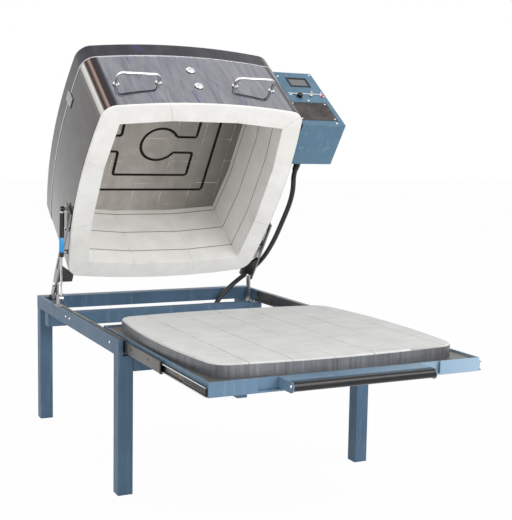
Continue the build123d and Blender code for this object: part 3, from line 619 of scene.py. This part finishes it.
# The drawer's enamel has a painted highlight: fade lightens its right end
DRAWER_BLUE = paint("drawer_enamel", colour(103, 132, 156), colour(168, 192, 212), colour(94, 122, 146),
                    fade=0.75)
BOX_BLUE = paint("box_enamel", colour(98, 131, 154), colour(158, 182, 200), colour(88, 120, 143))
ZINC = steel("slide_zinc", colour(74, 72, 70), colour(128, 126, 123), 0.38, grain=(1, 0.05, 1),
             grain_scale=0.5)
CAGE = steel("slide_cage", colour(52, 52, 54), colour(96, 96, 98), 0.4, grain_scale=0.5)
LIP = steel("slide_lip", colour(186, 188, 192), colour(232, 233, 236), 0.28, grain=(1, 0.1, 1),
            grain_scale=0.5)
STAINLESS = steel("bracket_steel", grey(120), grey(176), 0.32, grain=(1, 1, 0.1), grain_scale=0.4)
DECK_STEEL = steel("deck_steel", colour(98, 97, 96), colour(134, 133, 131), 0.45, grain=(0.1, 1, 1),
                   grain_scale=0.3)
ELEMENT = steel("element_wire", colour(48, 42, 38), colour(78, 70, 62), 0.6, depth=0.4)
CHROME = chrome("bright_chrome", grey(176), grey(250))
PLUG = chrome("plug_steel", grey(140), grey(226), roughness=0.16)
BLACK_ENAMEL = plastic("black_enamel", grey(12), grey(34), 0.3, grain=0.8, strength=0.06, coat=0.15)
BLACK_PLASTIC = plastic("black_plastic", grey(14), grey(38), 0.42)
RUBBER = plastic("buffer_rubber", grey(30), grey(52), 0.75, grain=0.9, strength=0.3)
GRIP = plastic("grip_black", colour(10, 10, 14), colour(34, 34, 42), 0.22, grain=0.5, strength=0.05,
               specular=0.4)
CREAM = plastic("cream_plastic", colour(226, 214, 190), colour(240, 232, 214), 0.35, grain=0.6, strength=0.05)
RED = plastic("red_plastic", colour(188, 52, 50), colour(222, 110, 102), 0.35, grain=0.6, strength=0.05,
              coat=0.2)
PORCELAIN = plastic("porcelain", colour(232, 228, 218), colour(246, 244, 238), 0.3, grain=0.4,
                    strength=0.06, coat=0.3)
BOARD = plastic("circuit_board", colour(28, 84, 48), colour(60, 122, 70), 0.4, grain=0.4)
WALL_BRICK = firebrick(
    "wall_firebrick", colour(246, 245, 242), colour(236, 234, 229), colour(206, 199, 188), HOOD_FRAME,
    course_joints, colour(94, 80, 68))
HEARTH_BRICK = firebrick(
    "hearth_firebrick", colour(221, 221, 220), colour(211, 211, 209), colour(186, 184, 180), STAND_FRAME,
    hearth_joints, colour(138, 136, 132), relief_strength=0.25)
ROOF_BRICK = roof_brick()
JACKET = jacket_steel()
CAP = roof_cap_steel()
WRAP = wrap_steel()
COVER = cover_steel()
GLASS = display_glass()
HOSE = conduit_rubber()
SLEEVE = label_sleeve()

FINISHES = {
    BLUE: ("legs", "side_rails", "rear_rail", "front_cross_rail", "rear_cross_member", "terminal_box"),
    DRAWER_BLUE: ("drawer_frame", "handle_bracket"),
    BOX_BLUE: ("control_housing", "control_panel"),
    ZINC: ("slide_outer", "slide_middle", "slide_inner", "base_sheet"),
    STAINLESS: ("hinge_posts", "hinge_arm_left", "hinge_arm_right", "strut_foot_bracket", "arm_spacers",
                "cap_clip", "strut_top_stud", "thermocouple"),
    DECK_STEEL: ("deck_sheet",),
    CHROME: ("bow_handles", "strut_rod", "pivot_bolts", "pivot_spacers", "stand_screws", "hood_screws",
             "grip_bolts", "switch_bushes"),
    BLACK_ENAMEL: ("corner_gussets", "strut_cylinder"),
    BLACK_PLASTIC: ("conduit_gland", "terminal_gland", "display_bezel", "temperature_knob", "contactor"),
    RUBBER: ("stop_buffer",),
    GRIP: ("handle_grip",),
    CREAM: ("toggle_lever",),
    RED: ("push_button",),
    PORCELAIN: ("lead_bushings",),
    PLUG: ("plug_upper", "plug_lower"),
    BOARD: ("controller_board",),
    ELEMENT: ("roof_element",),
    JACKET: ("jacket",),
    CAP: ("roof_cap",),
    WRAP: ("hearth_wrap",),
    WALL_BRICK: ("wall_course_1", "wall_course_2", "wall_course_3", "wall_course_4"),
    ROOF_BRICK: ("roof_bricks",),
    HEARTH_BRICK: ("hearth_bricks",),
    GLASS: ("display_window",),
    COVER: ("lower_cover",),
    HOSE: ("conduit",),
}
for material, names in FINISHES.items():
    for name in names:
        for material_slot in NODES[name].material_slots:
            material_slot.material = material


def piece(name, vertices, faces, material, body, smooth=True):
    """Mesh piece in the row frame, riding on a body."""
    mesh = bpy.data.meshes.new(name)
    mesh.from_pydata([tuple(v) for v in vertices], [], faces)
    mesh.materials.append(material)
    mesh.polygons.foreach_set("use_smooth", [smooth] * len(mesh.polygons))
    mesh.update()
    obj = bpy.data.objects.new(name, mesh)
    bpy.context.scene.collection.objects.link(obj)
    tidy = bmesh.new()
    tidy.from_mesh(mesh)
    bmesh.ops.recalc_face_normals(tidy, faces=tidy.faces)
    tidy.to_mesh(mesh)
    tidy.free()
    if smooth:
        mesh.set_sharp_from_angle(angle=radians(40))
    if body:
        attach(obj, body)
    return obj


def circle(middle, side, other, radius, sides):
    """Vertices round a middle, in the plane of two unit vectors."""
    angles = [2 * pi * j / sides for j in range(sides)]
    return [middle + (side * cos(angle) + other * sin(angle)) * radius for angle in angles]


def skin(rings, sides, closed=False):
    """Faces over circles of vertices: capped at both ends, or joined back to the first circle."""
    faces = []
    for k in range(rings if closed else rings - 1):
        low, high = k * sides, (k + 1) % rings * sides
        for j in range(sides):
            after = (j + 1) % sides
            faces.append((low + j, low + after, high + after, high + j))
    if not closed:
        faces.append(tuple(range(sides)))
        faces.append(tuple(range((rings - 1) * sides, rings * sides)))
    return faces


def swept(points, radius, sides):
    """Tube along points, closed at both ends; returns vertices and faces."""
    vertices = []
    normal = None
    for k, point in enumerate(points):
        ahead = points[min(k + 1, len(points) - 1)] - points[max(k - 1, 0)]
        ahead.normalize()
        if normal is None:
            normal = ahead.orthogonal().normalized()
        else:
            normal = (normal - ahead * normal.dot(ahead)).normalized()
        vertices.extend(circle(point, normal, ahead.cross(normal), radius, sides))
    return vertices, skin(len(points), sides)


def turned(matrix, start, toward, profile, sides=28, ring=False):
    """Turned solid: profile is (distance along, radius) in millimetres from start along toward; a ring's
    profile closes on itself."""
    start, toward = Vector(start), Vector(toward).normalized()
    side = toward.orthogonal().normalized()
    other = toward.cross(side)
    vertices = []
    for distance, radius in profile:
        vertices.extend(circle(start + toward * distance, side, other, radius, sides))
    return [matrix @ vertex for vertex in vertices], skin(len(profile), sides, ring)


def plate(matrix, low, high, bevel=0.4):
    """Thin plate or block between two corners in millimetres, with its edges eased."""
    shape = bmesh.new()
    bmesh.ops.create_cube(shape, size=1.0)
    low, high = Vector(low), Vector(high)
    for vertex in shape.verts:
        vertex.co = [low[k] + (vertex.co[k] + 0.5) * (high[k] - low[k]) for k in range(3)]
    bmesh.ops.bevel(shape, geom=shape.edges[:], offset=bevel, segments=2, affect="EDGES", profile=0.5)
    shape.verts.index_update()
    vertices = [matrix @ vertex.co for vertex in shape.verts]
    faces = [tuple(vertex.index for vertex in face.verts) for face in shape.faces]
    shape.free()
    return vertices, faces


def side_plate(side, across, along, height):
    """Plate in the stand's frame, between two distances from the middle on its left (-1) or right (1)."""
    low, high = sorted(side * distance for distance in across)
    return plate(STAND_FRAME, (low, along[0], height[0]), (high, along[1], height[1]))


def gathered(parts):
    """Several (vertices, faces) pairs as one."""
    vertices, faces = [], []
    for more_vertices, more_faces in parts:
        start = len(vertices)
        vertices.extend(more_vertices)
        faces.extend(tuple(start + index for index in face) for face in more_faces)
    return vertices, faces


def make_camera():
    """The photograph's view."""
    ahead = Vector((-sin(AZIMUTH) * cos(PITCH), cos(AZIMUTH) * cos(PITCH), -sin(PITCH)))
    right = Vector((cos(AZIMUTH), sin(AZIMUTH), 0))
    up = right.cross(ahead)
    tilted_right = right * cos(ROLL) + up * sin(ROLL)
    tilted_up = up * cos(ROLL) - right * sin(ROLL)
    data = bpy.data.cameras.new("photo_camera")
    data.sensor_fit = "HORIZONTAL"
    data.sensor_width = 36
    data.lens = FOCAL * data.sensor_width / FRAME_WIDTH
    data.clip_end = 60
    obj = bpy.data.objects.new("photo_camera", data)
    bpy.context.scene.collection.objects.link(obj)
    turn = Matrix((tilted_right, tilted_up, -ahead)).transposed()
    obj.matrix_world = Matrix.Translation(STAND_FRAME @ Vector(CAMERA_PLACE)) @ turn.to_4x4()
    bpy.context.scene.camera = obj


def make_conduit():
    """Hose from the control box, past the hinge, into the terminal box."""
    curve = bpy.data.curves.new("conduit_line", "CURVE")
    curve.dimensions = "3D"
    curve.resolution_u = 10
    spline = curve.splines.new("NURBS")
    spline.points.add(len(CONDUIT_ROUTE) - 1)
    for point, spot in zip(spline.points, CONDUIT_ROUTE):
        point.co = (*(STAND_FRAME @ Vector(spot)), 1)
    spline.order_u = 3
    spline.use_endpoint_u = True
    guide = bpy.data.objects.new("conduit_line", curve)
    line = bpy.data.meshes.new_from_object(guide)
    path = [v.co.copy() for v in line.vertices]
    bpy.data.meshes.remove(line)
    bpy.data.objects.remove(guide)
    bpy.data.curves.remove(curve)
    vertices, faces = swept(path, CONDUIT / 2 * MM, 24)
    hose = piece("conduit_hose", vertices, faces, HOSE, None)
    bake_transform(hose)
    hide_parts("conduit")

    for end, inner, body, name in ((0, 1, "hood", "upper"), (-1, -2, "stand", "lower")):
        start = Vector(CONDUIT_ROUTE[end])
        toward = Vector(CONDUIT_ROUTE[inner]) - start
        vertices, faces = turned(STAND_FRAME, start, toward, BOOT_PROFILE)
        piece("conduit_boot_" + name, vertices, faces, BLACK_PLASTIC, body)


def seen_directly(nodes, links):
    """1 for rays from the camera and those that mirrors and glass send on, 0 for the rest."""
    path = nodes.new("ShaderNodeLightPath")
    seen = path.outputs["Is Camera Ray"]
    for kind in ("Is Glossy Ray", "Is Transmission Ray"):
        either = nodes.new("ShaderNodeMath")
        either.operation = "MAXIMUM"
        links.new(seen, either.inputs[0])
        links.new(path.outputs[kind], either.inputs[1])
        seen = either.outputs[0]
    return seen


def make_floor():
    """Plain pale floor, nearly as bright as the background where it is seen."""
    low, high = -FLOOR_REACH, FLOOR_REACH
    mesh = bpy.data.meshes.new("floor")
    mesh.from_pydata([(low, low, 0), (high, low, 0), (high, high, 0), (low, high, 0)], [], [(0, 1, 2, 3)])
    f = Finish("pale_floor", roughness=0.9, specular=0.0)
    f.shade(Base_Color=f.mix(f.between(f.noise(f.where, 1.5, 3.0), 0.3, 0.7), grey(236), grey(240)))
    glow = f.add("ShaderNodeEmission")
    blend = f.add("ShaderNodeMixShader")
    f.put(blend.inputs[0], f.times(seen_directly(f.tree.nodes, f.tree.links), FLOOR_GLOW))
    f.put(blend.inputs[1], f.shader.outputs["BSDF"])
    f.put(blend.inputs[2], glow.outputs[0])
    f.put(f.output.inputs["Surface"], blend.outputs[0])
    mesh.materials.append(f.material)
    ground = bpy.data.objects.new("floor", mesh)
    bpy.context.scene.collection.objects.link(ground)


def make_world():
    """White surroundings."""
    world = bpy.data.worlds.new("studio")
    bpy.context.scene.world = world
    world.use_nodes = True
    nodes, links = world.node_tree.nodes, world.node_tree.links
    background = nodes["Background"]
    background.inputs["Color"].default_value = (1, 1, 1, 1)
    strength = nodes.new("ShaderNodeMapRange")
    strength.inputs[3].default_value = WORLD_LIGHT
    strength.inputs[4].default_value = WORLD_SEEN
    links.new(seen_directly(nodes, links), strength.inputs[0])
    links.new(strength.outputs[0], background.inputs["Strength"])


def make_lamps():
    """Soft square lamps that look at the object's middle."""
    for name, (place, power) in LAMPS.items():
        data = bpy.data.lights.new(name, "AREA")
        data.size = LAMP_SIZE
        data.energy = power
        lamp = bpy.data.objects.new(name, data)
        bpy.context.scene.collection.objects.link(lamp)
        lamp.location = place
        lamp.rotation_euler = (Vector(LAMP_TARGET) - Vector(place)).to_track_quat("-Z", "Y").to_euler()


def make_strut_details():
    """Blue wrap round the cylinder, and the lock nuts at both ends."""
    foot = Vector(STRUT_FOOT)
    top = STAND_FRAME.inverted() @ (HOOD_FRAME @ Vector(STRUT_TOP))
    toward = (top - foot).normalized()
    vertices, faces = turned(STAND_FRAME, foot + toward * SLEEVE_START, toward, SLEEVE_PROFILE, ring=True)
    piece("strut_sleeve", vertices, faces, SLEEVE, "strut_cylinder_body")
    vertices, faces = turned(STAND_FRAME, foot + toward * ROD_NUT_FROM_FOOT, toward, NUT_PROFILE, 6)
    piece("strut_rod_nut", vertices, faces, CHROME, "strut_rod_body", smooth=False)
    vertices, faces = turned(STAND_FRAME, top - toward * CYLINDER_NUT_FROM_TOP, toward, NUT_PROFILE, 6)
    piece("strut_cylinder_nut", vertices, faces, CHROME, "strut_cylinder_body", smooth=False)


def make_panel_details():
    """Bare plate over the controls, and its bright folded lower edge."""
    vertices, faces = plate(HOOD_FRAME, *CONTROL_PLATE, bevel=0.3)
    piece("control_plate", vertices, faces, BOX_BLUE, "hood", smooth=False)
    vertices, faces = plate(HOOD_FRAME, *CONTROL_PLATE_EDGE, bevel=0.5)
    piece("control_plate_edge", vertices, faces, CHROME, "hood", smooth=False)


def make_slide_details():
    """Rolled lips and ball cages of the drawer's slide members, and dark clips on the middle members."""
    ball_x, ball_y, ball_z = FIRST_BALL
    for side, name in ((-1, "left"), (1, "right")):
        lips = []
        for z in LIP_HEIGHTS:
            ends = [STAND_FRAME @ Vector((side * LIP_X, y, z)) for y in LIP_ENDS]
            lips.append(swept(ends, LIP_RADIUS * MM, 10))
        vertices, faces = gathered(lips)
        piece("slide_lips_" + name, vertices, faces, LIP, "drawer")
        cage = [side_plate(side, CAGE_X, CAGE_Y, CAGE_Z)]
        for k in range(BALL_COUNT):
            middle = (side * ball_x, ball_y + BALL_PITCH * k, ball_z)
            cage.append(turned(STAND_FRAME, middle, (side, 0, 0), BALL_PROFILE, 10))
        vertices, faces = gathered(cage)
        piece("slide_cage_" + name, vertices, faces, CAGE, "drawer", smooth=False)
        clip = [side_plate(side, across, CLIP_Y, height) for across, height in CLIP_WALLS]
        vertices, faces = gathered(clip)
        piece("slide_stop_" + name, vertices, faces, BLACK_PLASTIC, "slides", smooth=False)


bpy.context.scene.view_settings.view_transform = "Standard"
make_camera()
make_floor()
make_world()
make_lamps()
make_conduit()
make_strut_details()
make_panel_details()
make_slide_details()
